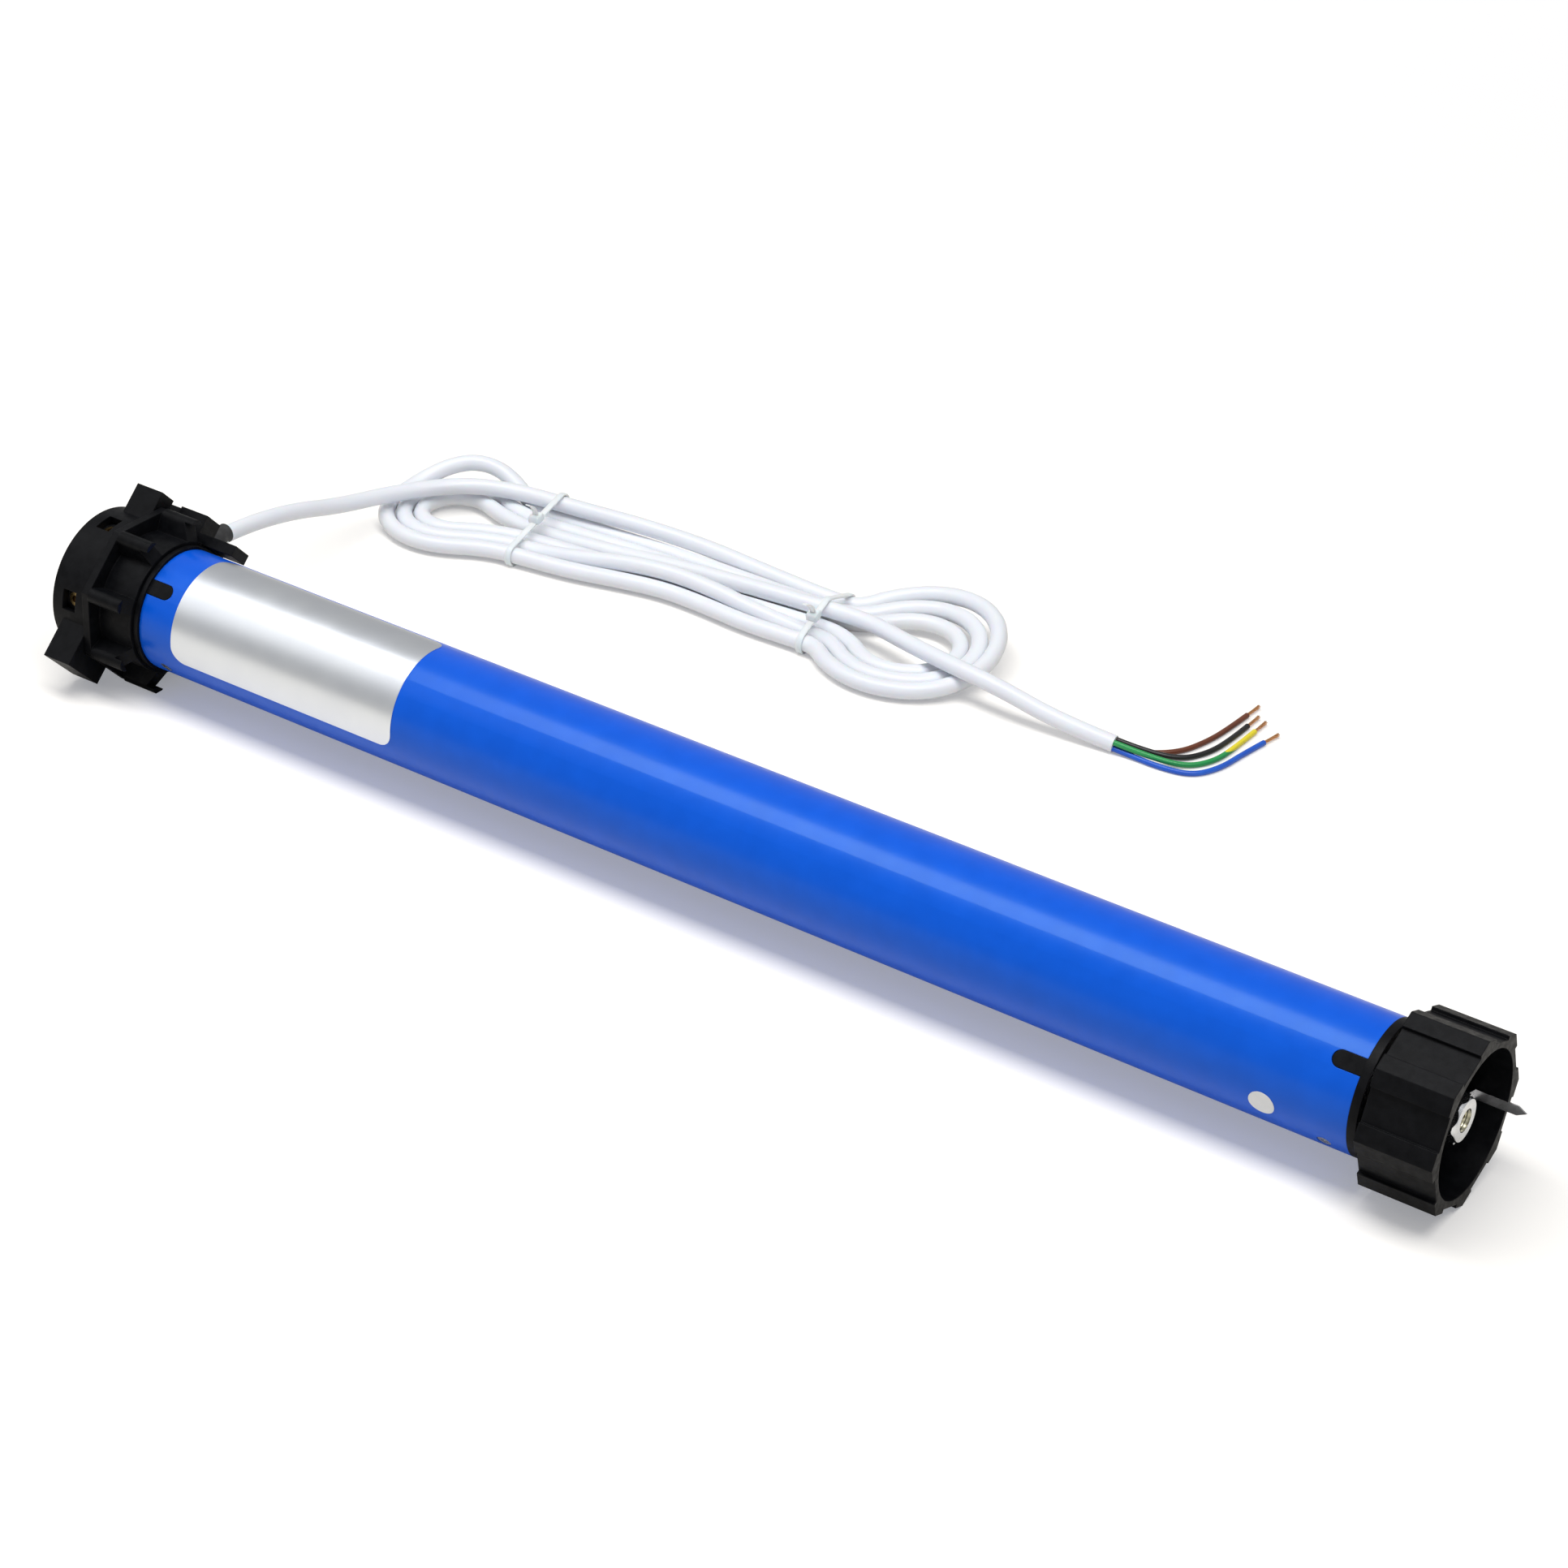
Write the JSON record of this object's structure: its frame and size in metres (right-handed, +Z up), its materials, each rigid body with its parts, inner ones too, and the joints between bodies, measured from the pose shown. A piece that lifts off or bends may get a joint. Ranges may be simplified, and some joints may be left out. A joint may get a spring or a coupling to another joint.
{
  "type": "tubular roller blind motor",
  "caption": "Tubular motor that drives a roller blind from inside its tube, with a fixed head, limit crown, gearbox, brake, drive wheel and a tied mains lead.",
  "frame": {"origin": "middle of the footprint of the motor without its lead, on the surface that it lies on", "axes": "+X along the motor axis from the head to the drive wheel, +Z up, the lead lies on the +Y side"},
  "size_m": [0.555, 0.2695, 0.0654],
  "materials": {
    "blue_coat": "glossy blue powder coat on the steel tube",
    "black_plastic": "fine matte black moulded plastic",
    "inner_black": "plain black moulded plastic",
    "zinc_steel": "bright zinc plated steel",
    "yellow_zinc": "yellow zinc plated steel",
    "spring_steel": "hardened spring steel strip",
    "dark_steel": "oiled steel",
    "lamination": "stacked electrical steel sheets",
    "gear_steel": "sintered steel",
    "gear_plastic": "natural acetal",
    "die_cast": "die cast alloy",
    "copper_wire": "enamelled copper wire",
    "bare_copper": "bare stranded copper",
    "brass": "plain brass",
    "friction_lining": "friction lining",
    "foil_label": "bare silver foil",
    "white_paper": "bare white sticker",
    "white_pvc": "soft white cable sheath",
    "white_nylon": "natural nylon strap",
    "core_brown": "brown wire insulation",
    "core_black": "black wire insulation",
    "core_green": "green and yellow wire insulation",
    "core_blue": "blue wire insulation",
    "grey_plastic": "grey moulded plastic",
    "gland_black": "black rubber grommet"
  },
  "bodies": {
    "housing": {"head_housing": "black_plastic", "head_end_cap": "black_plastic", "head_screws": "zinc_steel", "cable_gland": "gland_black", "head_sleeve": "black_plastic", "sleeve_screws": "zinc_steel", "limit_frame": "inner_black", "limit_switches": "grey_plastic", "terminal_block": "grey_plastic", "terminal_screws": "zinc_steel", "capacitor": "foil_label", "capacitor_sleeve": "inner_black", "front_shield": "die_cast", "rear_shield": "die_cast", "motor_bearings": "dark_steel", "stator_core": "lamination", "stator_winding": "copper_wire", "brake_housing": "dark_steel", "brake_coil": "copper_wire", "brake_end_plate": "dark_steel", "gearbox_housing": "gear_steel", "gearbox_end_cap": "black_plastic", "output_bearing": "dark_steel", "motor_tube": "blue_coat", "tube_screws": "zinc_steel", "label": "foil_label", "sticker": "white_paper", "cable_lead": "white_pvc", "cable_hank": "white_pvc", "cable_tail": "white_pvc", "core_brown": "core_brown", "core_black": "core_black", "core_green_yellow": "core_green", "core_blue": "core_blue", "copper_ends": "bare_copper", "cable_ties": "white_nylon"},
    "limit_screw_up": {"limit_screw_up": "brass"},
    "limit_screw_down": {"limit_screw_down": "brass"},
    "crown": {"crown": "black_plastic"},
    "limit_pinion": {"limit_pinion": "gear_plastic"},
    "limit_gear": {"limit_gear": "gear_plastic"},
    "cam_wheel_up": {"cam_wheel_up": "gear_plastic"},
    "cam_wheel_down": {"cam_wheel_down": "gear_plastic"},
    "switch_plunger_up": {"switch_plunger_up": "gear_plastic"},
    "switch_plunger_down": {"switch_plunger_down": "gear_plastic"},
    "rotor": {"rotor": "lamination", "rotor_shaft": "dark_steel", "brake_disc": "friction_lining"},
    "brake_armature": {"brake_armature": "dark_steel"},
    "planet_carrier": {"planet_carrier": "gear_steel"},
    "drive": {"output_shaft": "zinc_steel", "drive_wheel": "black_plastic", "spring_clip": "spring_steel", "shaft_screw": "yellow_zinc"},
    "planet_1_1": {"planet_1_1": "gear_plastic"},
    "planet_1_2": {"planet_1_2": "gear_plastic"},
    "planet_1_3": {"planet_1_3": "gear_plastic"},
    "planet_2_1": {"planet_2_1": "gear_steel"},
    "planet_2_2": {"planet_2_2": "gear_steel"},
    "planet_2_3": {"planet_2_3": "gear_steel"}
  },
  "joints": [
    {"name": "limit_screw_up_turn", "type": "hinge", "parent": "housing", "child": "limit_screw_up", "pos_m": [-0.2698, 0.00005, 0.04955], "axis": [0, -0.1736, 0.9848], "continuous": true},
    {"name": "limit_screw_down_turn", "type": "hinge", "parent": "housing", "child": "limit_screw_down", "pos_m": [-0.2698, -0.01617, 0.03332], "axis": [0, -0.9848, 0.1736], "continuous": true},
    {"name": "crown_spin", "type": "hinge", "parent": "housing", "child": "crown", "pos_m": [-0.2505, 0.00352, 0.02985], "axis": [1, 0, 0], "continuous": true},
    {"name": "limit_pinion_spin", "type": "hinge", "parent": "housing", "child": "limit_pinion", "pos_m": [-0.2405, 0.00352, 0.04485], "axis": [1, 0, 0], "continuous": true},
    {"name": "limit_gear_spin", "type": "hinge", "parent": "housing", "child": "limit_gear", "pos_m": [-0.2085, 0.00352, 0.03185], "axis": [1, 0, 0], "continuous": true},
    {"name": "cam_up_spin", "type": "hinge", "parent": "housing", "child": "cam_wheel_up", "pos_m": [-0.2025, -0.00687, 0.02585], "axis": [1, 0, 0], "continuous": true},
    {"name": "cam_down_spin", "type": "hinge", "parent": "housing", "child": "cam_wheel_down", "pos_m": [-0.2025, 0.01391, 0.02585], "axis": [1, 0, 0], "continuous": true},
    {"name": "switch_up_press", "type": "slide", "parent": "housing", "child": "switch_plunger_up", "axis": [0, 0, 1], "range_m": [0, 0.0005], "stiffness_N_per_m": 1500, "springref_m": -0.0002},
    {"name": "switch_down_press", "type": "slide", "parent": "housing", "child": "switch_plunger_down", "axis": [0, 0, 1], "range_m": [0, 0.0005], "stiffness_N_per_m": 1500, "springref_m": -0.0002},
    {"name": "rotor_spin", "type": "hinge", "parent": "housing", "child": "rotor", "pos_m": [0.0095, 0.00352, 0.02985], "axis": [1, 0, 0], "continuous": true},
    {"name": "brake_release", "type": "slide", "parent": "housing", "child": "brake_armature", "axis": [-1, 0, 0], "range_m": [0, 0.0004], "stiffness_N_per_m": 20000, "springref_m": -0.0005},
    {"name": "carrier_spin", "type": "hinge", "parent": "housing", "child": "planet_carrier", "pos_m": [0.1675, 0.00352, 0.02985], "axis": [1, 0, 0], "continuous": true},
    {"name": "drive_spin", "type": "hinge", "parent": "housing", "child": "drive", "pos_m": [0.2295, 0.00352, 0.02985], "axis": [1, 0, 0], "continuous": true},
    {"name": "planet_1_1_spin", "type": "hinge", "parent": "planet_carrier", "child": "planet_1_1", "pos_m": [0.1595, 0.00352, 0.04065], "axis": [1, 0, 0], "continuous": true},
    {"name": "planet_1_2_spin", "type": "hinge", "parent": "planet_carrier", "child": "planet_1_2", "pos_m": [0.1595, -0.00583, 0.02445], "axis": [1, 0, 0], "continuous": true},
    {"name": "planet_1_3_spin", "type": "hinge", "parent": "planet_carrier", "child": "planet_1_3", "pos_m": [0.1595, 0.01287, 0.02445], "axis": [1, 0, 0], "continuous": true},
    {"name": "planet_2_1_spin", "type": "hinge", "parent": "drive", "child": "planet_2_1", "pos_m": [0.1745, 0.00352, 0.04065], "axis": [1, 0, 0], "continuous": true},
    {"name": "planet_2_2_spin", "type": "hinge", "parent": "drive", "child": "planet_2_2", "pos_m": [0.1745, -0.00583, 0.02445], "axis": [1, 0, 0], "continuous": true},
    {"name": "planet_2_3_spin", "type": "hinge", "parent": "drive", "child": "planet_2_3", "pos_m": [0.1745, 0.01287, 0.02445], "axis": [1, 0, 0], "continuous": true}
  ],
  "couplings": [
    {"joint": "limit_pinion_spin", "follows": "crown_spin", "ratio": 6},
    {"joint": "limit_gear_spin", "follows": "crown_spin", "ratio": -1.8},
    {"joint": "cam_up_spin", "follows": "crown_spin", "ratio": 0.6},
    {"joint": "cam_down_spin", "follows": "crown_spin", "ratio": 0.6},
    {"joint": "carrier_spin", "follows": "rotor_spin", "ratio": 0.16667},
    {"joint": "drive_spin", "follows": "rotor_spin", "ratio": 0.027778},
    {"joint": "planet_1_1_spin", "follows": "rotor_spin", "ratio": -0.41667},
    {"joint": "planet_1_2_spin", "follows": "rotor_spin", "ratio": -0.41667},
    {"joint": "planet_1_3_spin", "follows": "rotor_spin", "ratio": -0.41667},
    {"joint": "planet_2_1_spin", "follows": "rotor_spin", "ratio": -0.069444},
    {"joint": "planet_2_2_spin", "follows": "rotor_spin", "ratio": -0.069444},
    {"joint": "planet_2_3_spin", "follows": "rotor_spin", "ratio": -0.069444}
  ]
}
